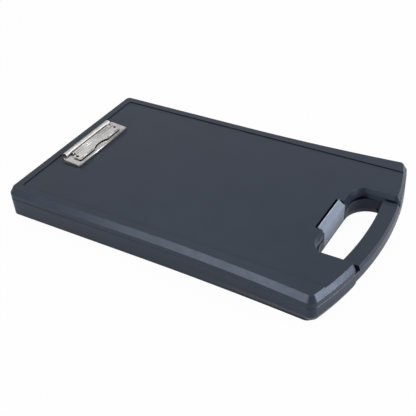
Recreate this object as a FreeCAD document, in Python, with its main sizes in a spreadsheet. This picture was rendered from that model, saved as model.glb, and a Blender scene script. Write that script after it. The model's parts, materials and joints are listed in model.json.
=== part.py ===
import FreeCAD, Part
import math
import os

from FreeCAD import Vector

# Storage clipboard box: a shallow moulded case with a hinged writing lid, a spring clip
# riveted to the lid, a bow handle moulded on the base and a sprung latch between them.
#
# Frame: X across the box, +Y towards the clip end, -Y towards the handle, +Z up.
# The origin is the middle of the whole part's footprint, on the surface it rests on.

# Driving sizes in millimetres: alias, value, what it is.
SIZES = [
    # case
    ("case_width", 248.0, "outer width over the straight half"),
    ("case_length", 418.0, "clip-end face to the crown of the handle end"),
    ("case_height", 35.6, "top of the lid's rim"),
    ("rim_height", 21.9, "top rim of the base"),
    ("seam_gap", 0.8, "open seam between base rim and lid edge"),
    ("corner_radius", 9.5, "upright corners of the case"),
    ("flare_start", 186.3, "length of the straight part of each long side"),
    ("flare_radius", 2290.0, "gentle outward curve of each long side"),
    ("foot_flare_radius", 4150.0, "gentler curve of each long side at the floor"),
    ("end_radius", 405.0, "curve of the handle end"),
    ("wall", 2.4, "side walls of both mouldings"),
    ("floor_thick", 2.2, "floor of the base"),
    ("panel_thick", 2.2, "writing panel of the lid"),
    ("bevel_width", 4.5, "width of the bevel round the lid's top edge"),
    ("bevel_drop", 7.3, "fall of the bevel round the lid's top edge"),
    ("notch_bevel", 2.2, "width of the bevel along the notch"),
    ("rim_bevel", 0.8, "small bevel on the base's top rim"),
    ("lean", 0.6, "how far the base's sides lean in at the floor"),
    ("foot_tuck", 6.6, "how far the handle end tucks in at the floor"),
    ("foot_step", 2.8, "height of the lower tuck at the handle end"),
    ("foot_round", 9.5, "height over which the handle end rounds under"),
    # writing surface
    ("rim_width", 8.8, "flat rim between bevel and writing recess"),
    ("recess_depth", 1.0, "depth of the writing recess"),
    ("recess_corner", 4.0, "corners of the writing recess"),
    # finger opening and handle
    ("notch_half", 61.8, "half width of the lid's notch at its lower edge"),
    ("notch_depth", 57.3, "crown of the handle end to the notch's back edge"),
    ("notch_flat", 42.0, "half length of the straight part of the notch's back"),
    ("notch_round", 24.8, "large rounds at the back of the notch"),
    ("notch_inner", 3.0, "small round between notch side and back"),
    ("notch_outer", 6.5, "round where the notch side meets the handle end"),
    ("opening_half", 62.2, "half width of the finger opening in the base"),
    ("opening_depth", 56.6, "crown of the handle end to the opening's back wall"),
    ("opening_round", 24.8, "round of the opening's back corners"),
    ("bow_width", 19.3, "width of the bow handle"),
    ("bow_top", 27.8, "top of the bow handle"),
    ("bow_half", 58.2, "half length of the raised bow"),
    ("bow_lift", 11.5, "height of the bow's underside"),
    ("bow_bevel", 4.5, "width of the bow's outer top bevel"),
    ("bow_drop", 1.8, "fall of the bow's outer top bevel"),
    ("bow_root", 9.8, "solid root beside the opening at each bow end"),
    # hinge
    ("knuckle_radius", 3.0, "hinge barrel"),
    ("knuckle_clear", 0.4, "barrel to end wall"),
    ("knuckle_foot", 8.5, "height of the web that carries a barrel"),
    ("base_knuckle", 12.0, "length of each base knuckle"),
    ("lid_knuckle", 18.0, "length of each lid knuckle"),
    ("knuckle_gap", 0.3, "side gap between knuckles"),
    ("hinge_inset", 49.0, "middle of each hinge from the straight long side"),
    ("hinge_pin", 2.5, "diameter of a hinge pin"),
    ("pin_fit", 0.04, "running fit of a pin in its bore, on radius"),
    # latch
    ("latch_half", 28.0, "half width of the latch"),
    ("latch_side", 0.5, "clearance at each end of the latch"),
    ("latch_thick", 1.8, "thickness of the latch plate"),
    ("latch_foot", 8.4, "lower edge of the latch"),
    ("latch_fall", 5.8, "height from the latch's bend to its top"),
    ("latch_reach", 7.9, "how far the latch leans back at its top"),
    ("latch_gap", 3.4, "dark gap behind the latch in the lid"),
    ("latch_inset", 0.2, "latch face behind the opening's wall face"),
    ("latch_barrel", 2.0, "radius of the latch's barrel"),
    ("latch_axis", 10.4, "height of the latch's pin"),
    ("latch_pin", 2.0, "diameter of the latch's pin"),
    ("latch_bite", 3.6, "length of the latch pin in each side wall"),
    ("latch_floor", 1.0, "clearance below the latch"),
    ("latch_well", 8.2, "depth of the latch well from the opening"),
    ("nose_clear", 1.0, "underside of the nose above the keeper"),
    ("nose_thick", 1.6, "thickness of the nose"),
    ("nose_half", 18.0, "half length of the nose and of the keeper"),
    ("keeper_clear", 0.5, "nose tip to keeper edge"),
    ("keeper_thick", 1.5, "thickness of the lid's keeper lip"),
    ("coil_half", 5.0, "half length of the latch's coil spring"),
    ("coil_wall", 0.6, "wire of the latch's coil spring"),
    ("coil_clear", 0.15, "coil to pin, on radius"),
    # clip
    ("clip_half", 49.5, "half width of the clip's jaw"),
    ("curl_half", 44.5, "half width of the rolled curl"),
    ("curl_place", 25.4, "clip-end face to the clip rod"),
    ("curl_height", 6.2, "clip rod above the writing surface"),
    ("curl_radius", 3.6, "outer radius of the rolled curl"),
    ("sheet_thick", 1.0, "sheet of jaw and lever"),
    ("lip_reach", 26.2, "clip rod to the jaw's front lip"),
    ("lip_height", 3.0, "top of the jaw at its front"),
    ("lip_clear", 0.35, "lip above the writing surface"),
    ("wing_reach", 5.2, "clip rod to the rear edge of the wide sheet"),
    ("ear_tail", 0.6, "rear edge of the ears behind the clip rod"),
    ("ear_slant", 3.4, "slanted rear corner of each ear"),
    ("ear_round", 2.0, "front corners of the jaw"),
    ("ear_hole", 1.1, "radius of the small hole in each ear"),
    ("ear_hole_reach", 15.2, "clip rod to the small holes"),
    ("ear_hole_side", 38.8, "small holes from the centre line"),
    ("rod_size", 2.4, "diameter of the clip rod"),
    ("plate_half", 42.0, "half width of the clip's base plate"),
    ("plate_thick", 0.8, "base plate sheet"),
    ("plate_back", 1.5, "plate's rear edge behind the clip rod"),
    ("plate_front", 20.6, "clip rod to the plate's front edge"),
    ("plate_round", 3.0, "corners of the base plate"),
    ("lug_place", 40.0, "outer face of each rod lug"),
    ("lug_thick", 1.2, "sheet of the rod lugs"),
    ("lug_radius", 2.1, "round head of the rod lugs"),
    ("lug_neck", 1.1, "half width of a rod lug below its head"),
    ("lever_half", 35.0, "half width of the lever"),
    ("lever_reach", 6.0, "clip rod to the lever's pin"),
    ("lever_height", 6.75, "lever pin above the writing surface"),
    ("lever_barrel", 1.6, "rolled rear edge of the lever"),
    ("lever_front", 21.8, "clip rod to the lever's front edge"),
    ("lever_fall", 2.9, "fall of the lever from back to front"),
    ("lever_pin", 1.4, "diameter of the lever's pin"),
    ("lever_lug_thick", 1.2, "sheet of the lever lugs"),
    ("lever_lug_gap", 0.3, "side gap between lever and lug"),
    ("bead_radius", 0.7, "raised beads along the lever"),
    ("bead_inset", 3.5, "ends of the beads from the lever's ends"),
    ("bead_first", 3.4, "first bead from the lever's pin"),
    ("bead_pitch", 3.2, "spacing of the beads"),
    ("tab_half", 14.0, "half width of the finger tab"),
    ("tab_reach", 3.6, "how far the tab passes the lever's front edge"),
    ("tab_round", 3.0, "corners of the finger tab"),
    ("tab_back", 5.0, "how far the tab's arched rear edge reaches onto the lever"),
    ("tab_rise", 0.3, "step at the middle of the tab's rear edge"),
    ("spring_inner", 6.0, "inner end of each clip spring from the middle"),
    ("spring_outer", 37.0, "outer end of each clip spring from the middle"),
    ("spring_wall", 0.75, "wire of the clip springs"),
    ("spring_clear", 0.12, "clip springs to rod, on radius"),
    ("spring_leg", 8.0, "length of a clip spring's leg"),
    ("rivet_place", 30.0, "rivets from the centre line"),
    ("rivet_reach", 11.0, "clip rod to the rivets"),
    ("rivet_shank", 4.0, "diameter of a rivet's shank"),
    ("rivet_head", 7.0, "diameter of a rivet's head"),
    ("rivet_head_thick", 1.2, "thickness of a rivet's head"),
    ("rivet_hole_clear", 0.1, "rivet in its hole, on radius"),
    ("washer_size", 9.0, "diameter of the backing washers"),
    ("washer_thick", 0.8, "thickness of the backing washers"),
    # shared
    ("overrun", 2.0, "how far cuts run past what they cut"),
]

doc = FreeCAD.newDocument("clipboard_box")


def make_sheet():
    """Put every driving size into the spreadsheet with its alias."""
    sheet = doc.addObject("Spreadsheet::Sheet", "sizes")
    for row, (alias, value, note) in enumerate(SIZES, start=1):
        sheet.set(f"A{row}", alias)
        sheet.set(f"B{row}", str(value))
        sheet.set(f"C{row}", note)
        sheet.setAlias(f"B{row}", alias)
    doc.recompute()
    return sheet


sizes = make_sheet()


def size(alias):
    """Value of one driving size."""
    return float(sizes.get(alias))


# Places worked out from the driving sizes.
CLIP_Y = size("case_length") / 2 - size("knuckle_radius") - size("knuckle_clear") / 2
CROWN_Y = CLIP_Y - size("case_length")
LID_Z = size("rim_height") + size("seam_gap")
PAPER_Z = size("case_height") - size("recess_depth")
CEILING_Z = PAPER_Z - size("panel_thick")
HALF_WIDTH = size("case_width") / 2
FLARE_Y = CLIP_Y - size("flare_start")
END_CENTRE = (0, CROWN_Y + size("end_radius"))
NOTCH_Y = CROWN_Y + size("notch_depth")
OPENING_Y = CROWN_Y + size("opening_depth")
AXIS_Y = CLIP_Y + size("knuckle_radius") + size("knuckle_clear")
AXIS_Z = size("rim_height") + size("seam_gap") / 2
LATCH_Y = OPENING_Y + size("latch_inset")
LATCH_TIP_Y = LATCH_Y + size("latch_reach")
LATCH_CUT_Y = LATCH_TIP_Y + size("latch_gap")
COIL_RADIUS = size("latch_pin") / 2 + size("coil_clear") + size("coil_wall")
LATCH_AXIS_Y = LATCH_Y + size("latch_thick") + COIL_RADIUS + size("coil_clear")
LATCH_CUT_HALF = size("latch_half") + size("latch_side")
WELL_Y = OPENING_Y + size("latch_well")
WELL_Z = size("latch_foot") - size("latch_floor")
NOSE_Z = LID_Z + size("keeper_thick") + size("nose_clear")
HOUSING_HALF = LATCH_CUT_HALF + size("latch_bite") + size("wall") / 2
ROD_Y = CLIP_Y - size("curl_place")
ROD_Z = PAPER_Z + size("curl_height")
LEVER_Y = ROD_Y - size("lever_reach")
LEVER_Z = PAPER_Z + size("lever_height")


def line(start, end):
    """Straight sketch edge."""
    return Part.LineSegment(Vector(start[0], start[1], 0), Vector(end[0], end[1], 0))


def arc(centre, start, end, far=False):
    """Sketch arc about a centre, the short way round, or the long way when far."""
    first = Vector(start[0] - centre[0], start[1] - centre[1], 0)
    last = Vector(end[0] - centre[0], end[1] - centre[1], 0)
    middle = (first + last).normalize() * first.Length
    if far:
        middle = middle * -1
    origin = Vector(centre[0], centre[1], 0)
    return Part.Arc(origin + first, origin + middle, origin + last)


def circle(centre, radius):
    """Full sketch circle."""
    return Part.Circle(Vector(centre[0], centre[1], 0), Vector(0, 0, 1), radius)


def along(centre, target, distance):
    """Point at a distance from the centre on the way to the target."""
    gap = math.hypot(target[0] - centre[0], target[1] - centre[1])
    share = distance / gap
    return (centre[0] + (target[0] - centre[0]) * share, centre[1] + (target[1] - centre[1]) * share)


def polar(centre, radius, degrees):
    """Point on a circle."""
    turn = math.radians(degrees)
    return (centre[0] + radius * math.cos(turn), centre[1] + radius * math.sin(turn))


def mirror(point):
    """The same point on the other side of the centre line."""
    return (-point[0], point[1])


def meet(first, first_radius, second, second_radius):
    """Lower crossing of two circles."""
    gap = math.hypot(second[0] - first[0], second[1] - first[1])
    reach = (first_radius ** 2 - second_radius ** 2 + gap ** 2) / (2 * gap)
    rise = math.sqrt(first_radius ** 2 - reach ** 2)
    way = ((second[0] - first[0]) / gap, (second[1] - first[1]) / gap)
    foot = (first[0] + reach * way[0], first[1] + reach * way[1])
    one = (foot[0] - rise * way[1], foot[1] + rise * way[0])
    other = (foot[0] + rise * way[1], foot[1] - rise * way[0])
    return min(one, other, key=lambda point: point[1])


def tangent_point(outside, centre, radius, side):
    """Where a line from an outside point touches a circle, on the chosen side."""
    gap = math.hypot(outside[0] - centre[0], outside[1] - centre[1])
    heading = math.degrees(math.atan2(outside[1] - centre[1], outside[0] - centre[0]))
    turn = math.degrees(math.acos(radius / gap))
    return polar(centre, radius, heading + side * turn)


def rectangle(left, bottom, right, top):
    """Four straight edges."""
    corners = [(left, bottom), (right, bottom), (right, top), (left, top)]
    return polygon(corners)


def polygon(corners):
    """Closed run of straight edges."""
    return [line(a, b) for a, b in zip(corners, corners[1:] + corners[:1])]


def rounded_rectangle(left, bottom, right, top, radius):
    """Rectangle with four equal rounds."""
    low, high = bottom + radius, top - radius
    near, far = left + radius, right - radius
    return [
        line((near, bottom), (far, bottom)),
        arc((far, low), (far, bottom), (right, low)),
        line((right, low), (right, high)),
        arc((far, high), (right, high), (far, top)),
        line((far, top), (near, top)),
        arc((near, high), (near, top), (left, high)),
        line((left, high), (left, low)),
        arc((near, low), (left, low), (near, bottom)),
    ]


def flank(side, tuck, clip, corner, curve="flare_radius"):
    """Right-hand edges of the case from the clip end's middle round to the handle end.

    side, tuck and clip are the insets of the long side, the handle end and the clip end;
    corner is the radius left at the corners, and curve names the radius of the long side.
    Returns the edges and the last point.
    """
    top = CLIP_Y - clip
    edge = HALF_WIDTH - side
    start = (edge - corner, top)
    turn = (edge, top - corner)
    straight = (edge, FLARE_Y)
    flare = size(curve) + side
    flare_centre = (HALF_WIDTH + size(curve), FLARE_Y)
    crown = size("end_radius") - tuck
    heart = meet(flare_centre, flare + corner, END_CENTRE, crown - corner)
    leave = along(flare_centre, heart, flare)
    arrive = along(END_CENTRE, heart, crown)
    edges = [
        arc((edge - corner, top - corner), start, turn),
        line(turn, straight),
        arc(flare_centre, straight, leave),
        arc(heart, leave, arrive),
    ]
    return start, edges, arrive


def both_sides(edges):
    """The edges with their mirror images."""
    copies = []
    for edge in edges:
        if isinstance(edge, Part.LineSegment):
            first, last = edge.StartPoint, edge.EndPoint
            copies.append(line((-last.x, last.y), (-first.x, first.y)))
        else:
            first, last = edge.StartPoint, edge.EndPoint
            middle = edge.value((edge.FirstParameter + edge.LastParameter) / 2)
            copies.append(Part.Arc(
                Vector(-last.x, last.y, 0), Vector(-middle.x, middle.y, 0), Vector(-first.x, first.y, 0)))
    return edges + copies


def base_outline(side, tuck, clip, curve="flare_radius"):
    """Whole outline of the base with the handle end closed by one arc."""
    corner = size("corner_radius") - side
    start, edges, arrive = flank(side, tuck, clip, corner, curve)
    closed = both_sides(edges)
    closed.append(line(mirror(start), start))
    closed.append(arc(END_CENTRE, arrive, mirror(arrive)))
    return closed


def notch_edges(edge, inset, arrive):
    """Right-hand edges of the lid's notch, from the handle end to the notch's back.

    edge is the inset of the handle end and inset that of the notch, both into the lid.
    Returns the edges, the end of the last one, and centre and radius of the back round.
    """
    half = size("notch_half")
    outer = size("notch_outer") - edge
    inner = size("notch_inner")
    back = size("notch_round")
    crown = size("end_radius") - edge
    heart_x = half + inset + outer
    heart = (heart_x, END_CENTRE[1] - math.sqrt((crown - outer) ** 2 - heart_x ** 2))
    leave = along(END_CENTRE, heart, crown)
    side_low = (half + inset, heart[1])
    knee_x = half - inner
    big = (size("notch_flat"), NOTCH_Y - back)
    knee = (knee_x, big[1] + math.sqrt((back - inner) ** 2 - (knee_x - big[0]) ** 2))
    side_high = (half + inset, knee[1])
    bend = along(big, knee, back + inset)
    edges = [
        arc(END_CENTRE, arrive, leave),
        arc(heart, leave, side_low),
        line(side_low, side_high),
        arc(knee, side_high, bend),
        arc(big, bend, (big[0], big[1] + back + inset)),
    ]
    return edges, (big[0], big[1] + back + inset)


def lid_outline(edge, inset):
    """Outline of the lid, notch included, without the latch cut.

    edge is the inset of the lid's outer sides and inset that of the notch.
    """
    start, edges, arrive = flank(edge, edge, edge, size("corner_radius") - edge)
    notch, top = notch_edges(edge, inset, arrive)
    closed = both_sides(edges + notch)
    closed.append(line(mirror(start), start))
    closed.append(line(top, mirror(top)))
    return closed


def lid_cavity(inset):
    """Outline of the hollow under the lid, kept clear of the latch cut by the inset."""
    start, edges, arrive = flank(inset, inset, inset, size("corner_radius") - inset)
    notch, top = notch_edges(inset, inset, arrive)
    jog_x = LATCH_CUT_HALF + inset
    jog = (jog_x, LATCH_CUT_Y + inset)
    closed = both_sides(edges + notch + [line(top, (jog_x, top[1])), line((jog_x, top[1]), jog)])
    closed.append(line(mirror(start), start))
    closed.append(line(jog, mirror(jog)))
    return closed


def opening_outline(offset):
    """Finger opening: flat back, two round corners, straight sides, the bow's inner arc."""
    half = size("opening_half") + offset
    radius = size("opening_round") + offset
    back = OPENING_Y + offset
    reach = size("end_radius") - size("bow_width") + offset
    low = (half, END_CENTRE[1] - math.sqrt(reach ** 2 - half ** 2))
    high = (half, back - radius)
    flat = (half - radius, back)
    edges = [line(low, high), arc((half - radius, back - radius), high, flat)]
    closed = both_sides(edges)
    closed.append(line(flat, mirror(flat)))
    closed.append(arc(END_CENTRE, mirror(low), low))
    return closed


def base_cavity(side, tuck, skin, curve="flare_radius"):
    """Storage hollow: inside the case walls and round the opening, latch well and bow roots."""
    corner = size("corner_radius") - side
    start, edges, arrive = flank(side, tuck, side, corner, curve)
    half = size("opening_half") + skin
    root_x = half + size("bow_root")
    crown = size("end_radius") - tuck
    root_low = (root_x, END_CENTRE[1] - math.sqrt(crown ** 2 - root_x ** 2))
    reach = size("end_radius") - size("bow_width") - skin
    root_y = END_CENTRE[1] - math.sqrt(reach ** 2 - root_x ** 2)
    radius = size("opening_round") + skin
    back = OPENING_Y + skin
    high = (half, back - radius)
    flat = (half - radius, back)
    jog_x = HOUSING_HALF
    jog_y = max(WELL_Y, LATCH_CUT_Y) + skin
    edges = edges + [
        arc(END_CENTRE, arrive, root_low),
        line(root_low, (root_x, root_y)),
        line((root_x, root_y), (half, root_y)),
        line((half, root_y), high),
        arc((half - radius, back - radius), high, flat),
        line(flat, (jog_x, back)),
        line((jog_x, back), (jog_x, jog_y)),
    ]
    closed = both_sides(edges)
    closed.append(line(mirror(start), start))
    closed.append(line((jog_x, jog_y), (-jog_x, jog_y)))
    return closed


def bow_band():
    """Plan of the raised bow: the band between inner and outer arc, cut square at its ends."""
    half = size("bow_half")
    outer = size("end_radius")
    inner = outer - size("bow_width")
    low = (half, END_CENTRE[1] - math.sqrt(outer ** 2 - half ** 2))
    high = (half, END_CENTRE[1] - math.sqrt(inner ** 2 - half ** 2))
    return [
        arc(END_CENTRE, mirror(low), low),
        line(low, high),
        arc(END_CENTRE, high, mirror(high)),
        line(mirror(high), mirror(low)),
    ]


# Middle of the right-hand hinge.
HINGE_PLACE = "sizes.case_width / 2 - sizes.hinge_inset"


def knuckle_outline(direction):
    """Side view of a hinge knuckle; direction is -1 below the axis, +1 above it."""
    radius = size("knuckle_radius")
    axis = (AXIS_Y, AXIS_Z)
    inside = CLIP_Y - size("wall") / 2 - size("lean") / 2
    foot = (inside, AXIS_Z + direction * size("knuckle_foot"))
    touch = tangent_point(foot, axis, radius, -direction)
    near = (AXIS_Y - radius, AXIS_Z)
    shelf = AXIS_Z + direction * size("seam_gap")
    edges = [
        line(foot, touch),
        arc(axis, touch, near, far=True),
        line(near, (near[0], shelf)),
        line((near[0], shelf), (inside, shelf)),
        line((inside, shelf), foot),
    ]
    return edges


def new_body(label):
    """Empty body for one piece."""
    body = doc.addObject("PartDesign::Body", label)
    body.Label = label
    return body


def origin_plane(body, role):
    """One of the body's own origin planes."""
    return next(item for item in body.Origin.OriginFeatures if item.Role == role)


def sketch_on(body, name, role, edges, place=None):
    """Sketch on an origin plane, shifted along its normal by a sheet expression."""
    sketch = body.newObject("Sketcher::SketchObject", name)
    sketch.AttachmentSupport = [(origin_plane(body, role), "")]
    sketch.MapMode = "FlatFace"
    for edge in edges:
        sketch.addGeometry(edge, False)
    if place:
        sketch.setExpression(".AttachmentOffset.Base.z", place)
    return sketch


def pad(body, sketch, length, both=False, down=False):
    """Pad of a sketch by a sheet expression."""
    feature = body.newObject("PartDesign::Pad", sketch.Name + "_pad")
    feature.Profile = sketch
    feature.setExpression("Length", length)
    feature.Midplane = both
    feature.Reversed = down
    return feature


def pocket(body, sketch, length, both=False, up=False):
    """Pocket of a sketch by a sheet expression; it cuts along -normal unless up."""
    feature = body.newObject("PartDesign::Pocket", sketch.Name + "_cut")
    feature.Profile = sketch
    feature.setExpression("Length", length)
    feature.Midplane = both
    feature.Reversed = up
    return feature


def loft(body, kind, sketches, name):
    """Ruled loft through sketches, added or taken away."""
    feature = body.newObject("PartDesign::" + kind, name)
    feature.Profile = sketches[0]
    feature.Sections = sketches[1:]
    feature.Ruled = True
    return feature


def mirrored(body, features, name):
    """The same features on the other side of the centre line."""
    feature = body.newObject("PartDesign::Mirrored", name)
    feature.Originals = features
    feature.MirrorPlane = (origin_plane(body, "YZ_Plane"), [""])
    body.Tip = feature
    return feature


def dress(body, kind, feature, edges, name):
    """Fillet or chamfer on chosen edges of the last feature."""
    result = body.newObject("PartDesign::" + kind, name)
    result.Base = (feature, edges)
    return result


def edges_where(feature, test):
    """Names of the feature's edges whose middle point passes a test."""
    names = []
    for number, edge in enumerate(feature.Shape.Edges, start=1):
        middle = edge.valueAt((edge.FirstParameter + edge.LastParameter) / 2)
        if test(edge, middle):
            names.append(f"Edge{number}")
    return names


def close_to(value, target):
    """Equal within the modelling tolerance."""
    return abs(value - target) < TOUCH


TOUCH = size("pin_fit") / 4


def make_base_tray():
    """Base: leaning walls, a rounded handle end, the storage hollow, the finger opening,
    the raised bow, the latch well and the hinge knuckles."""
    body = new_body("base_tray")
    lean = size("lean")
    step_lean = lean * (1 - size("foot_round") / size("rim_height"))
    outer = [
        sketch_on(body, "base_foot", "XY_Plane",
                  base_outline(lean, size("foot_tuck"), lean, "foot_flare_radius")),
        sketch_on(body, "base_tuck", "XY_Plane",
                  base_outline(lean, size("foot_step"), lean, "foot_flare_radius"),
                  "sizes.foot_step"),
        sketch_on(body, "base_waist", "XY_Plane",
                  base_outline(step_lean, 0, step_lean), "sizes.foot_round"),
        sketch_on(body, "base_shoulder", "XY_Plane",
                  base_outline(0, 0, 0), "sizes.rim_height - sizes.rim_bevel"),
        sketch_on(body, "base_rim", "XY_Plane",
                  base_outline(size("rim_bevel"), size("rim_bevel"), size("rim_bevel")),
                  "sizes.rim_height"),
    ]
    shell = loft(body, "AdditiveLoft", outer, "base_shell")
    doc.recompute()
    band = sketch_on(body, "bow_plan", "XY_Plane", bow_band(), "sizes.bow_lift")
    bow = pad(body, band, "sizes.bow_top - sizes.bow_lift")
    doc.recompute()
    top = size("bow_top")
    crown = size("end_radius")

    def bow_edge(edge, middle):
        reach = math.hypot(middle.x - END_CENTRE[0], middle.y - END_CENTRE[1])
        return close_to(middle.z, top) and close_to(reach, crown)

    bevel = dress(body, "Chamfer", bow, edges_where(bow, bow_edge), "bow_bevel")
    bevel.ChamferType = "Two distances"
    bevel.setExpression("Size", "sizes.bow_bevel")
    bevel.setExpression("Size2", "sizes.bow_drop")
    doc.recompute()
    wall = size("wall")
    skin = size("foot_round") + size("lean")
    hollow = sketch_on(body, "hollow_plan", "XY_Plane",
                       base_cavity(wall, wall, wall), "sizes.rim_height")
    pocket(body, hollow, "sizes.rim_height - sizes.foot_round")
    low = [
        sketch_on(body, "hollow_waist", "XY_Plane",
                  base_cavity(wall, wall, wall), "sizes.foot_round"),
        sketch_on(body, "hollow_floor", "XY_Plane",
                  base_cavity(wall + lean, size("foot_tuck") + wall, skin, "foot_flare_radius"),
                  "sizes.floor_thick"),
    ]
    loft(body, "SubtractiveLoft", low, "hollow_bottom")
    opening = sketch_on(body, "opening_plan", "XY_Plane", opening_outline(0),
                        "sizes.bow_top + sizes.overrun")
    pocket(body, opening, "sizes.bow_top + 2 * sizes.overrun")
    under = [
        sketch_on(body, "opening_waist", "XY_Plane", opening_outline(0), "sizes.foot_round"),
        sketch_on(body, "opening_step", "XY_Plane",
                  opening_outline(size("foot_step")), "sizes.foot_step"),
        sketch_on(body, "opening_foot", "XY_Plane", opening_outline(size("foot_tuck"))),
    ]
    loft(body, "SubtractiveLoft", under, "opening_round_under")
    reach = size("opening_half") + size("foot_step")
    far = CROWN_Y - size("overrun")
    near = OPENING_Y - size("opening_round")
    lifted = sketch_on(body, "bow_underside", "XY_Plane",
                       rectangle(-reach, far, reach, near), "sizes.bow_lift")
    pocket(body, lifted, "sizes.bow_lift + sizes.overrun")
    well = sketch_on(body, "latch_well_plan", "XY_Plane",
                     rectangle(-LATCH_CUT_HALF, OPENING_Y - size("overrun"), LATCH_CUT_HALF, WELL_Y),
                     "sizes.rim_height + sizes.overrun")
    pocket(body, well,
           "sizes.rim_height + sizes.overrun - sizes.latch_foot + sizes.latch_floor")
    bore = sketch_on(body, "latch_bore", "YZ_Plane",
                     [circle((LATCH_AXIS_Y, size("latch_axis")), size("latch_pin") / 2)])
    pocket(body, bore, "2 * (sizes.latch_half + sizes.latch_side + sizes.latch_bite)", both=True)
    doc.recompute()
    pads = []
    for name, sign in (("inner", "-"), ("outer", "+")):
        place = (HINGE_PLACE + sign
                 + "(sizes.lid_knuckle / 2 + sizes.knuckle_gap + sizes.base_knuckle / 2)")
        side = sketch_on(body, "knuckle_" + name, "YZ_Plane", knuckle_outline(-1), place)
        pads.append(pad(body, side, "sizes.base_knuckle", both=True))
    doc.recompute()
    mirrored(body, pads, "knuckle_mirror")
    hole = sketch_on(body, "hinge_bore", "YZ_Plane",
                     [circle((AXIS_Y, AXIS_Z), size("hinge_pin") / 2)])
    pocket(body, hole, "sizes.case_width", both=True)
    return body


def make_lid():
    """Lid: bevelled top with the notch, writing recess, stepped hollow beneath, latch cut,
    keeper lip, rivet holes and hinge knuckles."""
    body = new_body("lid")
    shoulder = "sizes.case_height - sizes.bevel_drop"
    plan = sketch_on(body, "lid_plan", "XY_Plane", lid_outline(0, 0), "sizes.rim_height + sizes.seam_gap")
    pad(body, plan, shoulder + " - sizes.rim_height - sizes.seam_gap")
    slopes = [
        sketch_on(body, "bevel_foot", "XY_Plane", lid_outline(0, 0), shoulder),
        sketch_on(body, "bevel_top", "XY_Plane",
                  lid_outline(size("bevel_width"), size("notch_bevel")), "sizes.case_height"),
    ]
    loft(body, "AdditiveLoft", slopes, "lid_bevel")
    half = HALF_WIDTH - size("bevel_width") - size("rim_width")
    head = CLIP_Y - size("bevel_width") - size("rim_width")
    tail = CROWN_Y - size("overrun") - size("recess_corner")
    recess = sketch_on(body, "recess_plan", "XY_Plane",
                       rounded_rectangle(-half, tail, half, head, size("recess_corner")),
                       "sizes.case_height")
    pocket(body, recess, "sizes.recess_depth")
    wall = size("wall")
    lower = sketch_on(body, "lid_hollow", "XY_Plane", lid_cavity(wall),
                      "sizes.rim_height + sizes.seam_gap")
    pocket(body, lower, shoulder + " - sizes.rim_height - sizes.seam_gap", up=True)
    upper = sketch_on(body, "lid_hollow_top", "XY_Plane",
                      lid_cavity(size("bevel_width")),
                      "sizes.rim_height + sizes.seam_gap")
    pocket(body, upper, "sizes.case_height - sizes.recess_depth - sizes.panel_thick"
           " - sizes.rim_height - sizes.seam_gap", up=True)
    cut = sketch_on(body, "latch_cut", "XY_Plane",
                    rectangle(-LATCH_CUT_HALF, NOTCH_Y - size("notch_round"), LATCH_CUT_HALF, LATCH_CUT_Y),
                    "sizes.case_height + sizes.overrun")
    pocket(body, cut, "sizes.case_height")
    lip_y = LATCH_TIP_Y + size("keeper_clear")
    keeper = sketch_on(body, "keeper_plan", "XY_Plane",
                       rectangle(-size("nose_half"), lip_y, size("nose_half"),
                                 LATCH_CUT_Y + size("wall") / 2),
                       "sizes.rim_height + sizes.seam_gap")
    pad(body, keeper, "sizes.keeper_thick")
    holes = [circle((side * size("rivet_place"), ROD_Y - size("rivet_reach")),
                    size("rivet_shank") / 2 + size("rivet_hole_clear")) for side in (-1, 1)]
    drill = sketch_on(body, "rivet_holes", "XY_Plane", holes, "sizes.case_height + sizes.overrun")
    pocket(body, drill, "sizes.case_height")
    side = sketch_on(body, "lid_knuckle_side", "YZ_Plane", knuckle_outline(1), HINGE_PLACE)
    barrel = pad(body, side, "sizes.lid_knuckle", both=True)
    doc.recompute()
    mirrored(body, [barrel], "lid_knuckle_mirror")
    hole = sketch_on(body, "lid_hinge_bore", "YZ_Plane",
                     [circle((AXIS_Y, AXIS_Z), size("hinge_pin") / 2 + size("pin_fit"))])
    pocket(body, hole, "sizes.case_width", both=True)
    return body


def make_rod(label, length, radius, place, y, z):
    """Plain round pin along X; place is the expression for its middle."""
    rod = doc.addObject("Part::Cylinder", label)
    rod.Label = label
    rod.setExpression("Height", length)
    rod.setExpression("Radius", radius)
    rod.Placement = FreeCAD.Placement(Vector(0, y, z), FreeCAD.Rotation(Vector(0, 1, 0), 90))
    rod.setExpression(".Placement.Base.x", f"({place}) - ({length}) / 2")
    return rod


def latch_profile():
    """Side view of the latch plate: upright face, bevelled bend and the thumb edge."""
    face = LATCH_Y
    thick = size("latch_thick")
    foot = size("latch_foot")
    tip_z = size("case_height")
    reach = size("latch_reach")
    fall = size("latch_fall")
    bend = tip_z - fall
    gap = math.hypot(reach, fall)
    slope = (reach / gap, fall / gap)
    back = (face + reach, tip_z)
    under = (face + reach, tip_z - thick / slope[0])
    inner = (face + thick, bend - thick * (1 - slope[1]) / slope[0])
    return polygon([(face, foot), (face, bend), back, under, inner, (face + thick, foot)][::-1])


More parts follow.
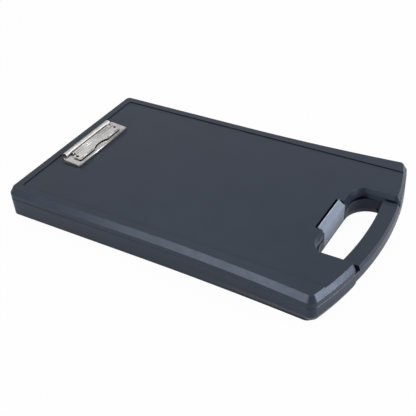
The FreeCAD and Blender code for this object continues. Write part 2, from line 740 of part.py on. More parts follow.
def make_latch_lever():
    """Latch: bent plate, barrel in two halves round its pin, and the nose over the keeper."""
    body = new_body("latch_lever")
    plate = sketch_on(body, "latch_side_view", "YZ_Plane", latch_profile())
    pad(body, plate, "2 * sizes.latch_half", both=True)
    nose = sketch_on(body, "latch_nose", "YZ_Plane",
                     rectangle(LATCH_Y + size("latch_thick") / 2, NOSE_Z,
                               LATCH_TIP_Y, NOSE_Z + size("nose_thick")))
    pad(body, nose, "2 * sizes.nose_half", both=True)
    axis = (LATCH_AXIS_Y, size("latch_axis"))
    front = LATCH_Y + size("latch_thick")
    radius = size("latch_barrel")
    web = size("latch_thick") / 2
    barrel = sketch_on(body, "latch_barrel_side", "YZ_Plane", [
        line((front - web, axis[1] - radius), (axis[0], axis[1] - radius)),
        arc(axis, (axis[0], axis[1] - radius), (axis[0] + radius, axis[1])),
        arc(axis, (axis[0] + radius, axis[1]), (axis[0], axis[1] + radius)),
        line((axis[0], axis[1] + radius), (front - web, axis[1] + radius)),
        line((front - web, axis[1] + radius), (front - web, axis[1] - radius)),
    ])
    pad(body, barrel, "2 * sizes.latch_half", both=True)
    reach = size("latch_barrel") + size("overrun")
    gap = sketch_on(body, "coil_room", "YZ_Plane",
                    rectangle(front, axis[1] - reach, front + 2 * reach, axis[1] + reach))
    pocket(body, gap, "2 * sizes.coil_half + 4 * sizes.coil_clear", both=True)
    hole = sketch_on(body, "latch_pin_bore", "YZ_Plane",
                     [circle(axis, size("latch_pin") / 2 + size("pin_fit"))])
    pocket(body, hole, "2 * (sizes.latch_half + sizes.overrun)", both=True)
    return body


def tube(y, z, inner, outer, low, high):
    """Plain sleeve along X, for a coil that stays out of sight."""
    ring = Part.makeCylinder(outer, high - low, Vector(low, y, z), Vector(1, 0, 0))
    return ring.cut(Part.makeCylinder(inner, high - low, Vector(low, y, z), Vector(1, 0, 0)))


def add_feature(label, shape):
    """Document object for a shape made with direct operations."""
    feature = doc.addObject("Part::Feature", label)
    feature.Label = label
    feature.Shape = shape
    return feature


# Radius of a spring's straight leg against its wire.
LEG_SHARE = 0.4


def make_latch_spring():
    """Torsion coil on the latch's pin with one leg on the plate and one on the well's wall."""
    wire = size("coil_wall")
    inner = size("latch_pin") / 2 + size("coil_clear")
    axis_z = size("latch_axis")
    half = size("coil_half")
    coil = tube(LATCH_AXIS_Y, axis_z, inner, inner + wire, -half, half)
    radius = wire * LEG_SHARE
    leg = size("latch_barrel") + size("overrun")
    middle = wire / 2
    hang = inner + middle
    plate_leg = Part.makeCylinder(
        radius, leg, Vector(half - middle, LATCH_AXIS_Y - hang, axis_z), Vector(0, 0, 1))
    foot = Vector(middle - half, LATCH_AXIS_Y + hang, axis_z)
    rest = Vector(middle - half, WELL_Y - wire, axis_z + leg)
    wall_leg = Part.makeCylinder(radius, (rest - foot).Length, foot, rest - foot)
    return add_feature("latch_spring", coil.fuse([plate_leg, wall_leg]).removeSplitter())


def make_base_plate():
    """Clip's base plate: flat sheet with two lugs that carry the rod."""
    body = new_body("clip_base_plate")
    half = size("plate_half")
    plan = sketch_on(body, "plate_plan", "XY_Plane",
                     rounded_rectangle(-half, ROD_Y - size("plate_front"), half,
                                       ROD_Y + size("plate_back"), size("plate_round")),
                     "sizes.case_height - sizes.recess_depth")
    pad(body, plan, "sizes.plate_thick")
    head = (ROD_Y, ROD_Z)
    radius = size("lug_radius")
    foot = PAPER_Z + size("plate_thick") / 2
    neck = size("lug_neck")
    chin = ROD_Z - math.sqrt(radius ** 2 - neck ** 2)
    side = sketch_on(body, "lug_side", "YZ_Plane", [
        line((ROD_Y - neck, foot), (ROD_Y + neck, foot)),
        line((ROD_Y + neck, foot), (ROD_Y + neck, chin)),
        arc(head, (ROD_Y + neck, chin), (ROD_Y - neck, chin), far=True),
        line((ROD_Y - neck, chin), (ROD_Y - neck, foot)),
    ], "sizes.lug_place - sizes.lug_thick / 2")
    lug = pad(body, side, "sizes.lug_thick", both=True)
    doc.recompute()
    mirrored(body, [lug], "lug_mirror")
    bore = sketch_on(body, "rod_bore", "YZ_Plane", [circle(head, size("rod_size") / 2)])
    pocket(body, bore, "2 * (sizes.lug_place + sizes.overrun)", both=True)
    holes = [circle((part * size("rivet_place"), ROD_Y - size("rivet_reach")),
                    size("rivet_shank") / 2 + size("rivet_hole_clear")) for part in (-1, 1)]
    drill = sketch_on(body, "plate_holes", "XY_Plane", holes, "sizes.case_height")
    pocket(body, drill, "sizes.case_height", both=True)
    return body


def clip_point(reach, height):
    """Point of a clip side view from its distance to the rod and its height on the paper."""
    return (ROD_Y - reach, PAPER_Z + height)


# Angles where the curl's sheet starts and ends, seen from the -X side, in degrees.
CURL_MOUTH_SHARES = {"rear": -45, "front": 200, "under": 225}


def jaw_profile():
    """Side view of the jaw: rolled curl, sloping sheet and the turned-down lip."""
    rod = (ROD_Y, ROD_Z)
    outer = size("curl_radius")
    inner = outer - size("sheet_thick")
    thick = size("sheet_thick")
    rear_out = polar(rod, outer, CURL_MOUTH_SHARES["rear"])
    rear_in = polar(rod, inner, CURL_MOUTH_SHARES["rear"])
    front_out = polar(rod, outer, CURL_MOUTH_SHARES["front"])
    under_in = polar(rod, inner, CURL_MOUTH_SHARES["under"])
    top = (ROD_Y, ROD_Z + outer)
    lip = size("lip_reach")
    high = size("lip_height")
    nose_back = clip_point(lip - thick, high)
    nose_front = clip_point(lip, high - thick)
    return [
        arc(rod, rear_out, top),
        arc(rod, top, front_out),
        line(front_out, nose_back),
        line(nose_back, nose_front),
        line(nose_front, clip_point(lip, size("lip_clear"))),
        line(clip_point(lip, size("lip_clear")), clip_point(lip - thick, size("lip_clear"))),
        line(clip_point(lip - thick, size("lip_clear")), clip_point(lip - thick, high - thick)),
        line(clip_point(lip - thick, high - thick), under_in),
        arc(rod, under_in, (ROD_Y, ROD_Z + inner)),
        arc(rod, (ROD_Y, ROD_Z + inner), rear_in),
        line(rear_in, rear_out),
    ]


def sheet_height(reach):
    """Height of the jaw's top sheet above the writing surface at a distance from the rod."""
    start = polar((ROD_Y, ROD_Z), size("curl_radius"), CURL_MOUTH_SHARES["front"])
    first = ROD_Y - start[0]
    last = size("lip_reach") - size("sheet_thick")
    share = (reach - first) / (last - first)
    return (start[1] - PAPER_Z) * (1 - share) + size("lip_height") * share


def sheet_side(rear):
    """Side view of the wide sheet with its front lip, from its rear edge, not yet hollowed."""
    lip = size("lip_reach")
    thick = size("sheet_thick")
    return polygon([
        clip_point(rear, sheet_height(rear)),
        clip_point(lip - thick, size("lip_height")),
        clip_point(lip, size("lip_height") - thick),
        clip_point(lip, size("lip_clear")),
        clip_point(rear, size("lip_clear")),
    ][::-1])


def make_clip_jaw():
    """Jaw: curl over the rod, wider sheet with ears, front lip, ear holes and lever lugs."""
    body = new_body("clip_jaw")
    curl = sketch_on(body, "jaw_side_view", "YZ_Plane", jaw_profile())
    pad(body, curl, "2 * sizes.curl_half", both=True)
    thick = size("sheet_thick")
    lip = size("lip_reach")
    ear = -size("ear_tail")
    high = size("lip_height")
    wide = sketch_on(body, "wing_side_view", "YZ_Plane", sheet_side(size("wing_reach")))
    pad(body, wide, "2 * sizes.clip_half", both=True)
    side = sketch_on(body, "ear_side_view", "YZ_Plane", sheet_side(ear),
                     "(sizes.clip_half + sizes.curl_half) / 2")
    flap = pad(body, side, "sizes.clip_half - sizes.curl_half", both=True)
    doc.recompute()
    mirrored(body, [flap], "ear_mirror")
    room = sketch_on(body, "ear_hollow", "YZ_Plane", polygon([
        clip_point(ear - size("overrun"), sheet_height(ear - size("overrun")) - thick),
        clip_point(lip - thick, high - thick),
        clip_point(lip - thick, -size("overrun")),
        clip_point(ear - size("overrun"), -size("overrun")),
    ][::-1]))
    pocket(body, room, "2 * (sizes.clip_half - sizes.sheet_thick)", both=True)
    slant = size("ear_slant")
    far = size("clip_half") + size("overrun")
    edge = size("clip_half")
    rear = ROD_Y - ear
    corner = polygon([
        (edge - slant, rear + size("overrun")),
        (edge - slant, rear),
        (edge, rear - slant),
        (far, rear - slant),
        (far, rear + size("overrun")),
    ])
    turn = size("ear_round")
    front = ROD_Y - lip
    arris = [
        arc((edge - turn, front + turn), (edge - turn, front), (edge, front + turn)),
        line((edge, front + turn), (far, front + turn)),
        line((far, front + turn), (far, front - turn)),
        line((far, front - turn), (edge - turn, front - turn)),
        line((edge - turn, front - turn), (edge - turn, front)),
    ]
    for label, outline in (("ear_corner", corner), ("front_corner", arris)):
        cut = sketch_on(body, label, "XY_Plane", both_sides(outline),
                        "sizes.case_height - sizes.recess_depth + sizes.curl_height")
        pocket(body, cut, "sizes.curl_height + sizes.overrun")
    holes = [circle((part * size("ear_hole_side"), ROD_Y - size("ear_hole_reach")), size("ear_hole"))
             for part in (-1, 1)]
    drill = sketch_on(body, "ear_holes", "XY_Plane", holes,
                      "sizes.case_height + sizes.curl_height")
    pocket(body, drill, "sizes.curl_height + sizes.overrun")
    pin = (LEVER_Y, LEVER_Z)
    radius = size("lever_barrel")
    foot = PAPER_Z + sheet_height(size("lever_reach")) - thick / 2
    side = sketch_on(body, "lever_lug_side", "YZ_Plane", [
        line((LEVER_Y + radius, foot), (LEVER_Y + radius, LEVER_Z)),
        arc(pin, (LEVER_Y + radius, LEVER_Z), (LEVER_Y, LEVER_Z + radius)),
        arc(pin, (LEVER_Y, LEVER_Z + radius), (LEVER_Y - radius, LEVER_Z)),
        line((LEVER_Y - radius, LEVER_Z), (LEVER_Y - 2 * radius, foot)),
        line((LEVER_Y - 2 * radius, foot), (LEVER_Y + radius, foot)),
    ], "sizes.lever_half + sizes.lever_lug_gap + sizes.lever_lug_thick / 2")
    lug = pad(body, side, "sizes.lever_lug_thick", both=True)
    doc.recompute()
    mirrored(body, [lug], "lever_lug_mirror")
    bore = sketch_on(body, "lever_pin_bore", "YZ_Plane", [circle(pin, size("lever_pin") / 2)])
    pocket(body, bore, "2 * (sizes.lever_half + sizes.lever_lug_gap + sizes.lever_lug_thick"
           " + sizes.overrun)", both=True)
    return body


def lever_point(reach, lift):
    """Point of the lever's side view above or below its top line."""
    start = size("lever_reach")
    share = (reach - start) / (size("lever_front") - start)
    height = size("lever_height") + size("lever_barrel") - share * size("lever_fall")
    return clip_point(reach, height + lift)


def make_clip_lever():
    """Lever: rolled rear edge, sloping sheet, raised beads and a finger tab in the middle."""
    body = new_body("clip_lever")
    thick = size("sheet_thick")
    start = size("lever_reach")
    front = size("lever_front")
    pin = (LEVER_Y, LEVER_Z)
    plate = sketch_on(body, "lever_side_view", "YZ_Plane", polygon([
        lever_point(start, 0),
        lever_point(front - thick / 2, 0),
        lever_point(front, -thick / 2),
        lever_point(front, -thick),
        lever_point(start, -thick),
    ][::-1]))
    pad(body, plate, "2 * sizes.lever_half", both=True)
    barrel = sketch_on(body, "lever_barrel_side", "YZ_Plane", [circle(pin, size("lever_barrel"))])
    pad(body, barrel, "2 * sizes.lever_half", both=True)
    for number in (0, 1):
        place = start + size("bead_first") + number * size("bead_pitch")
        centre = lever_point(place, -size("bead_radius") / 2)
        bead = sketch_on(body, f"bead_{number}", "YZ_Plane", [circle(centre, size("bead_radius"))])
        pad(body, bead, "2 * (sizes.lever_half - sizes.bead_inset)", both=True)
    root = ROD_Y - front
    tip = root - size("tab_reach")
    half = size("tab_half")
    turn = size("tab_round")
    crown = size("tab_back")
    centre = (0, root + (crown ** 2 - half ** 2) / (2 * crown))
    tab = sketch_on(body, "tab_plan", "XY_Plane", [
        arc(centre, (half, root), (-half, root)),
        line((-half, root), (-half, tip + turn)),
        arc((turn - half, tip + turn), (-half, tip + turn), (turn - half, tip)),
        line((turn - half, tip), (half - turn, tip)),
        arc((half - turn, tip + turn), (half - turn, tip), (half, tip + turn)),
        line((half, tip + turn), (half, root)),
    ], "sizes.case_height - sizes.recess_depth + sizes.lever_height + sizes.lever_barrel"
        " + sizes.tab_rise - sizes.lever_fall"
        " * (1 - sizes.tab_back / (sizes.lever_front - sizes.lever_reach))")
    pad(body, tab, "sizes.sheet_thick + sizes.tab_rise", down=True)
    bore = sketch_on(body, "lever_bore", "YZ_Plane",
                     [circle(pin, size("lever_pin") / 2 + size("pin_fit"))])
    pocket(body, bore, "2 * (sizes.lever_half + sizes.overrun)", both=True)
    return body


def make_clip_spring(label, side):
    """Torsion coil on the clip rod with a leg on the base plate and a leg under the jaw."""
    wire = size("spring_wall")
    inner = size("rod_size") / 2 + size("spring_clear")
    low, high = sorted((side * size("spring_inner"), side * size("spring_outer")))
    coil = tube(ROD_Y, ROD_Z, inner, inner + wire, low, high)
    radius = wire * LEG_SHARE
    middle = wire / 2
    start_z = ROD_Z - inner - middle
    leg_place = low + middle if side > 0 else high - middle
    rest_z = PAPER_Z + size("plate_thick") + radius + size("spring_clear")
    start = Vector(leg_place, ROD_Y, start_z)
    reach = size("spring_leg")
    fall = start_z - rest_z
    way = Vector(0, -math.sqrt(reach ** 2 - fall ** 2), -fall)
    leg = Part.makeCylinder(radius, reach, start, way)
    return add_feature(label, coil.fuse(leg).removeSplitter())


def make_rivet(label, side):
    """Rivet: domed-flat head on the base plate, shank through the lid, closed end below."""
    x = side * size("rivet_place")
    y = ROD_Y - size("rivet_reach")
    plate_top = PAPER_Z + size("plate_thick")
    under = CEILING_Z - size("washer_thick")
    head = Part.makeCylinder(size("rivet_head") / 2, size("rivet_head_thick"), Vector(x, y, plate_top))
    shank = Part.makeCylinder(size("rivet_shank") / 2, plate_top - under, Vector(x, y, under))
    tail = Part.makeCylinder(size("rivet_head") / 2, size("rivet_head_thick"),
                             Vector(x, y, under - size("rivet_head_thick")))
    shape = head.fuse([shank, tail]).removeSplitter()
    rims = [edge for edge in shape.Edges
            if close_to(edge.Length, math.pi * size("rivet_head"))
            and close_to(edge.CenterOfMass.z, plate_top + size("rivet_head_thick"))]
    shape = shape.makeChamfer(size("rivet_head_thick") / 2, rims)
    return add_feature(label, shape)


def make_washer(label, side):
    """Backing washer between the lid's panel and the rivet's closed end."""
    x = side * size("rivet_place")
    y = ROD_Y - size("rivet_reach")
    low = Vector(x, y, CEILING_Z - size("washer_thick"))
    disc = Part.makeCylinder(size("washer_size") / 2, size("washer_thick"), low)
    hole = size("rivet_shank") / 2 + size("rivet_hole_clear")
    return add_feature(label, disc.cut(Part.makeCylinder(hole, size("washer_thick"), low)))


def make_parts():
    """Every piece of the product."""
    hinge_length = "2 * (sizes.base_knuckle + sizes.knuckle_gap) + sizes.lid_knuckle"
    latch_length = "2 * (sizes.latch_half + sizes.latch_side + sizes.latch_bite)"
    lever_length = "2 * (sizes.lever_half + sizes.lever_lug_gap + sizes.lever_lug_thick)"
    parts = [make_base_tray(), make_lid()]
    for side, name in ((-1, "left"), (1, "right")):
        parts.append(make_rod("hinge_pin_" + name, hinge_length, "sizes.hinge_pin / 2",
                              f"{side} * ({HINGE_PLACE})", AXIS_Y, AXIS_Z))
    parts.append(make_latch_lever())
    parts.append(make_rod("latch_pin", latch_length, "sizes.latch_pin / 2", "0 * sizes.latch_pin",
                          LATCH_AXIS_Y, size("latch_axis")))
    parts.append(make_latch_spring())
    parts.append(make_base_plate())
    parts.append(make_clip_jaw())
    parts.append(make_clip_lever())
    parts.append(make_rod("clip_rod", "2 * sizes.lug_place", "sizes.rod_size / 2",
                          "0 * sizes.rod_size", ROD_Y, ROD_Z))
    parts.append(make_rod("clip_lever_pin", lever_length, "sizes.lever_pin / 2",
                          "0 * sizes.lever_pin", LEVER_Y, LEVER_Z))
    for side, name in ((-1, "left"), (1, "right")):
        parts.append(make_clip_spring("clip_spring_" + name, side))
        parts.append(make_rivet("clip_rivet_" + name, side))
        parts.append(make_washer("rivet_washer_" + name, side))
    return parts


def write_parts(parts):
    """Check every object and piece, then write one file for each piece."""
    doc.recompute()
    for item in doc.Objects:
        if "Invalid" in item.State or "Error" in item.State:
            raise ValueError(f"{item.Name} did not compute: {item.State}")
    for piece in parts:
        shape = piece.Shape
        if shape.isNull() or not shape.isValid() or len(shape.Solids) != 1:
            raise ValueError(f"{piece.Label} is not one valid solid")
    os.makedirs("parts", exist_ok=True)
    for piece in parts:
        piece.Shape.exportStep(f"parts/{piece.Label}.step")
        box = piece.Shape.BoundBox
        print(f"{piece.Label}: {piece.Shape.Volume / 1000:.2f} cm3, "
              f"x {box.XMin:.1f}..{box.XMax:.1f} y {box.YMin:.1f}..{box.YMax:.1f} "
              f"z {box.ZMin:.1f}..{box.ZMax:.1f}")


write_parts(make_parts())
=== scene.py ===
"""Storage clipboard box: finishes, wound springs, the clip's lever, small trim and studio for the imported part."""

from __future__ import annotations

import json
import logging
import math
from dataclasses import dataclass, field
from enum import Enum

import bmesh
import bpy
from mathutils import Matrix, Vector
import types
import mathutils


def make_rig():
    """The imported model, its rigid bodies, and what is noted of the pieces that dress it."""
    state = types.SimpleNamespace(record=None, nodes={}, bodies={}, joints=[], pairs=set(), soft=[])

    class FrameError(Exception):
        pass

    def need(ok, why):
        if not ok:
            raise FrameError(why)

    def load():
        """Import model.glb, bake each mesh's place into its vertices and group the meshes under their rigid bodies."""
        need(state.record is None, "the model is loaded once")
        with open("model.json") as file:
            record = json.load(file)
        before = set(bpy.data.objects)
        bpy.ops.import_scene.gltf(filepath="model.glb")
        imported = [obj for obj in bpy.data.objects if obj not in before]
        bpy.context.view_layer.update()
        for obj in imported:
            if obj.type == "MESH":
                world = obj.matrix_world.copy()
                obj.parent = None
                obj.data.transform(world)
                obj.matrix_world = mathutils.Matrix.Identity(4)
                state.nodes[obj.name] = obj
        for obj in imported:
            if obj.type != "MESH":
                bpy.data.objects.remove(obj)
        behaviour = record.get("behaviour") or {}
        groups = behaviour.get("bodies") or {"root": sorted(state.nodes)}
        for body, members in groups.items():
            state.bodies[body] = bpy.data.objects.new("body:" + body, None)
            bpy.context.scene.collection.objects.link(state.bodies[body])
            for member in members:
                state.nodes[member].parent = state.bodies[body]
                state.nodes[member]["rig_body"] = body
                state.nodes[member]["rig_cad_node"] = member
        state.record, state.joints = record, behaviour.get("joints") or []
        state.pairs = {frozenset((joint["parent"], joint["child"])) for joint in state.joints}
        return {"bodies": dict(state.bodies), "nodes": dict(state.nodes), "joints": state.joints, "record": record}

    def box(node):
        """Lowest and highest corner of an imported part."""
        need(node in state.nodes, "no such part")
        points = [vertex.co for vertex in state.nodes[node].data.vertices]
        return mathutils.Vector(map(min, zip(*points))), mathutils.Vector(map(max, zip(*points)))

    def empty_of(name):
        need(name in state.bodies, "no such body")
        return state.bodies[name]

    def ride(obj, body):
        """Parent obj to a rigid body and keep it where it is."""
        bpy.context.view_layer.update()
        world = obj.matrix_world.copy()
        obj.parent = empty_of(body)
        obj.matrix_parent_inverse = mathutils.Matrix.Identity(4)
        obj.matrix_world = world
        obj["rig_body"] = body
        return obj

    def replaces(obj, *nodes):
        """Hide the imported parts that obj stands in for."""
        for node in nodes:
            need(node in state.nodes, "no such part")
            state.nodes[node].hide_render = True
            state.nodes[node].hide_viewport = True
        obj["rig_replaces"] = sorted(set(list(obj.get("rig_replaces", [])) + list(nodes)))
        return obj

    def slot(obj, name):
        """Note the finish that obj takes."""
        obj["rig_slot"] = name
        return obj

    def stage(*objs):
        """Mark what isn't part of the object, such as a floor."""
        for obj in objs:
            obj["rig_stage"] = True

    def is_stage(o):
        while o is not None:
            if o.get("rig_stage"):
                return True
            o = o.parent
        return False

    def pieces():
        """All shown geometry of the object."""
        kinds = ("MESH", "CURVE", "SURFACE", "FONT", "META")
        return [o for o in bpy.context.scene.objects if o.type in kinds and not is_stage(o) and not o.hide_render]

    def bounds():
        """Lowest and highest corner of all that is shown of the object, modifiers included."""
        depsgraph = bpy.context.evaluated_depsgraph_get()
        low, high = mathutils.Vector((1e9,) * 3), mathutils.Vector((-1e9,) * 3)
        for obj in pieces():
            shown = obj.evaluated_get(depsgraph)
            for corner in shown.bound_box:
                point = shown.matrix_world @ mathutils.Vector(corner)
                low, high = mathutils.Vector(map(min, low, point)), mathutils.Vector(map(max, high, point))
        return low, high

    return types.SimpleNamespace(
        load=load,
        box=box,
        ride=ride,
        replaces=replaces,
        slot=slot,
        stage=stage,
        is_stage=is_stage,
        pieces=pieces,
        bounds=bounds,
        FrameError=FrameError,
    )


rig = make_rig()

LOG = logging.getLogger("clipboard_box")
MM = 0.001
WELD_DISTANCE = 0.002 * MM
SIZE_FILE = "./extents.json"


class Side(Enum):
    """The two sides of the case, seen from the handle."""

    LEFT = -1
    RIGHT = 1

    @property
    def word(self) -> str:
        """The side's name as the CAD nodes write it."""
        return self.name.lower()


class Slot(Enum):
    """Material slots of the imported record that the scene's own pieces take."""

    LATCH = "latch_plastic"
    CLIP = "clip_steel"
    SPRING = "spring_steel"


class FinishGraph:
    """Node tree of one finish, with short calls for the nodes that a finish needs."""

    def __init__(self, name: str) -> None:
        """Starts a material with its shader.

        Args:
            name: The finish's name.
        """
        self.material = bpy.data.materials.new(name)
        self.material.use_nodes = True
        self.tree = self.material.node_tree
        self.shader = self.tree.nodes["Principled BSDF"]
        coordinates = self.tree.nodes.new("ShaderNodeTexCoord")
        self.position = coordinates.outputs["Object"]

    def join(self, source: bpy.types.NodeSocket, target: bpy.types.NodeSocket) -> None:
        """Links one socket to another."""
        self.tree.links.new(source, target)

    def noise(self, grain: float, detail: float = 2.0, stretch: Vector | None = None) -> bpy.types.NodeSocket:
        """Even noise in the part's own frame.

        Args:
            grain: Size of one grain in metres.
            detail: Octaves of finer noise.
            stretch: How many grains long each axis draws the noise out, if it isn't even.

        Returns:
            The noise value's socket.
        """
        mapping = self.tree.nodes.new("ShaderNodeMapping")
        mapping.vector_type = "TEXTURE"
        drawn = stretch or Vector((1, 1, 1))
        mapping.inputs["Scale"].default_value = drawn * grain
        self.join(self.position, mapping.inputs["Vector"])
        noise = self.tree.nodes.new("ShaderNodeTexNoise")
        noise.inputs["Scale"].default_value = 1.0
        noise.inputs["Detail"].default_value = detail
        self.join(mapping.outputs["Vector"], noise.inputs["Vector"])
        return noise.outputs["Fac"]

    def spread(
        self, value: bpy.types.NodeSocket, low: float, high: float, start: float = 0.3, end: float = 0.7
    ) -> bpy.types.NodeSocket:
        """Maps a value onto a range.

        Args:
            value: The socket to map.
            low: Result at start.
            high: Result at end.
            start: Value that gives low.
            end: Value that gives high.

        Returns:
            The mapped value's socket.
        """
        spread = self.tree.nodes.new("ShaderNodeMapRange")
        for socket, number in (("From Min", start), ("From Max", end), ("To Min", low), ("To Max", high)):
            spread.inputs[socket].default_value = number
        self.join(value, spread.inputs["Value"])
        return spread.outputs["Result"]

    def blend(
        self, share: bpy.types.NodeSocket, first: tuple[float, ...], second: tuple[float, ...]
    ) -> bpy.types.NodeSocket:
        """Mixes two colours by a value.

        Args:
            share: How much of the second colour shows.
            first: Red, green and blue at 0.
            second: Red, green and blue at 1.

        Returns:
            The mixed colour's socket.
        """
        blend = self.tree.nodes.new("ShaderNodeMix")
        blend.data_type = "RGBA"
        self.join(share, blend.inputs["Factor"])
        blend.inputs[6].default_value = (*first, 1)
        blend.inputs[7].default_value = (*second, 1)
        return blend.outputs[2]

    def edges(self, radius: float) -> bpy.types.NodeSocket:
        """Rounds the surface's edges and tells how close it is to one of them.

        Args:
            radius: Width of the rounding, and of the rubbed band on it, in metres.

        Returns:
            The socket of a value that is 0 on flats and about 1 on sharp edges.
        """
        rounded = self.tree.nodes.new("ShaderNodeBevel")
        rounded.samples = 6
        rounded.inputs["Radius"].default_value = radius
        self.join(rounded.outputs["Normal"], self.shader.inputs["Normal"])
        flat = self.tree.nodes.new("ShaderNodeNewGeometry")
        turn = self.tree.nodes.new("ShaderNodeVectorMath")
        turn.operation = "DOT_PRODUCT"
        self.join(rounded.outputs["Normal"], turn.inputs[0])
        self.join(flat.outputs["Normal"], turn.inputs[1])
        return self.spread(turn.outputs["Value"], 1.0, 0.0, start=0.75, end=1.0)

    def crevices(self, reach: float, alone: bool = False) -> bpy.types.NodeSocket:
        """How open the surface is to the room, so that narrow gaps and inner corners can be painted darker as shade.

        Args:
            reach: How far the look-round reaches in metres.
            alone: Whether only the piece itself counts, and not what stands near it.

        Returns:
            The socket of a value that is 1 on open surfaces and less in gaps.
        """
        opened = self.tree.nodes.new("ShaderNodeAmbientOcclusion")
        opened.samples = 8
        opened.only_local = alone
        opened.inputs["Distance"].default_value = reach
        return opened.outputs["AO"]

    def bump(self, height: bpy.types.NodeSocket, depth: float, strength: float) -> None:
        """Adds one layer of relief over the rounding and over the layers added before.

        Args:
            height: Socket of the relief's height.
            depth: Height of the relief in metres.
            strength: Share of the relief that shows.
        """
        bump = self.tree.nodes.new("ShaderNodeBump")
        bump.inputs["Strength"].default_value = strength
        bump.inputs["Distance"].default_value = depth
        self.join(height, bump.inputs["Height"])
        target = self.shader.inputs["Normal"]
        if target.is_linked:
            self.join(target.links[0].from_socket, bump.inputs["Normal"])
        self.join(bump.outputs["Normal"], target)


@dataclass(frozen=True)
class MouldedPlastic:
    """Matte moulded plastic with a fine spark-eroded grain, slightly rubbed edges, and painted shade with weaker
    reflection in inner corners and gaps.
    """

    name: str
    colour: tuple[float, float, float]
    rubbed: tuple[float, float, float]
    roughness: tuple[float, float] = (0.28, 0.36)
    gloss: float = 0.4
    gloss_tint: tuple[float, float, float] = (0.70, 0.82, 1.0)
    grain: float = 0.5 * MM
    grain_depth: float = 0.03 * MM
    grain_strength: float = 0.35
    cloud: float = 38 * MM
    rubbed_width: float = 0.5 * MM
    cloud_lift: float = 1.10
    rubbed_cloud: float = 9 * MM
    gloss_cloud: float = 14 * MM
    # Reach and span of the self-occlusion that paints shade into inner corners and openings, and the colour share and
    # reflection left in that painted shade.
    shade_reach: float = 30 * MM
    shade_span: tuple[float, float] = (0.5, 0.95)
    shaded_share: float = 0.35
    shaded_gloss: float = 0.1

    def build(self) -> bpy.types.Material:
        """Makes the material.

        Returns:
            The finished material.
        """
        graph = FinishGraph(self.name)
        lighter = tuple(self.cloud_lift * part for part in self.colour)
        body = graph.blend(graph.spread(graph.noise(self.cloud, 4), 0, 1), self.colour, lighter)
        wear = graph.tree.nodes.new("ShaderNodeMix")
        wear.data_type = "RGBA"
        edge = graph.tree.nodes.new("ShaderNodeMath")
        edge.operation = "MULTIPLY"
        graph.join(graph.edges(self.rubbed_width), edge.inputs[0])
        graph.join(graph.spread(graph.noise(self.rubbed_cloud, 3), 0.25, 1.0), edge.inputs[1])
        graph.join(edge.outputs["Value"], wear.inputs["Factor"])
        graph.join(body, wear.inputs[6])
        wear.inputs[7].default_value = (*self.rubbed, 1)
        # Painted shade: the colour darkens and the reflection weakens where the piece hides itself, in inner corners,
        # openings and the handle's well.
        opened = graph.crevices(self.shade_reach, alone=True)
        shaded = graph.tree.nodes.new("ShaderNodeMix")
        shaded.data_type = "RGBA"
        graph.join(graph.spread(opened, 0.0, 1.0, *self.shade_span), shaded.inputs["Factor"])
        shaded.inputs[6].default_value = (*(self.shaded_share * part for part in self.colour), 1)
        graph.join(wear.outputs[2], shaded.inputs[7])
        graph.join(shaded.outputs[2], graph.shader.inputs["Base Color"])
        low, high = self.roughness
        graph.join(graph.spread(graph.noise(self.gloss_cloud, 4), low, high), graph.shader.inputs["Roughness"])
        gloss = graph.spread(opened, self.shaded_gloss, self.gloss, *self.shade_span)
        graph.join(gloss, graph.shader.inputs["Specular IOR Level"])
        graph.shader.inputs["Specular Tint"].default_value = (*self.gloss_tint, 1)
        graph.bump(graph.noise(self.grain, 2), self.grain_depth, self.grain_strength)
        return graph.material


@dataclass(frozen=True)
class RolledSteel:
    """Nickel-plated or bare steel with rolling marks drawn along one axis, and painted shade in gaps and close to
    other pieces.
    """

    name: str
    colour: tuple[float, float, float]
    shade: tuple[float, float, float]
    roughness: tuple[float, float] = (0.30, 0.40)
    drawn: tuple[float, float, float] = (40.0, 1.0, 1.0)
    cloud: float = 6 * MM
    mark: float = 0.25 * MM
    mark_depth: float = 0.01 * MM
    mark_strength: float = 0.15
    # Reach and span of the occlusion that paints shade into gaps, holes and places close to other pieces, and the
    # colour of that painted shade.
    crevice: float = 3.0 * MM
    crevice_span: tuple[float, float] = (0.4, 0.95)
    painted_gap_shade: tuple[float, float, float] = (0.04, 0.036, 0.034)

    def build(self) -> bpy.types.Material:
        """Makes the material.

        Returns:
            The finished material.
        """
        graph = FinishGraph(self.name)
        tint = graph.blend(graph.spread(graph.noise(self.cloud, 4), 0, 1), self.colour, self.shade)
        # Painted shade: the colour turns to the dark shade colour where other surfaces are near, under the lever, in
        # its holes and in narrow gaps.
        open_share = graph.spread(graph.crevices(self.crevice), 0, 1, *self.crevice_span)
        gap_shade_mix = graph.tree.nodes.new("ShaderNodeMix")
        gap_shade_mix.data_type = "RGBA"
        graph.join(open_share, gap_shade_mix.inputs["Factor"])
        gap_shade_mix.inputs[6].default_value = (*self.painted_gap_shade, 1)
        graph.join(tint, gap_shade_mix.inputs[7])
        graph.join(gap_shade_mix.outputs[2], graph.shader.inputs["Base Color"])
        graph.shader.inputs["Metallic"].default_value = 1.0
        low, high = self.roughness
        marks = graph.noise(self.mark, 3, Vector(self.drawn))
        graph.join(graph.spread(marks, low, high), graph.shader.inputs["Roughness"])
        graph.bump(marks, self.mark_depth, self.mark_strength)
        return graph.material


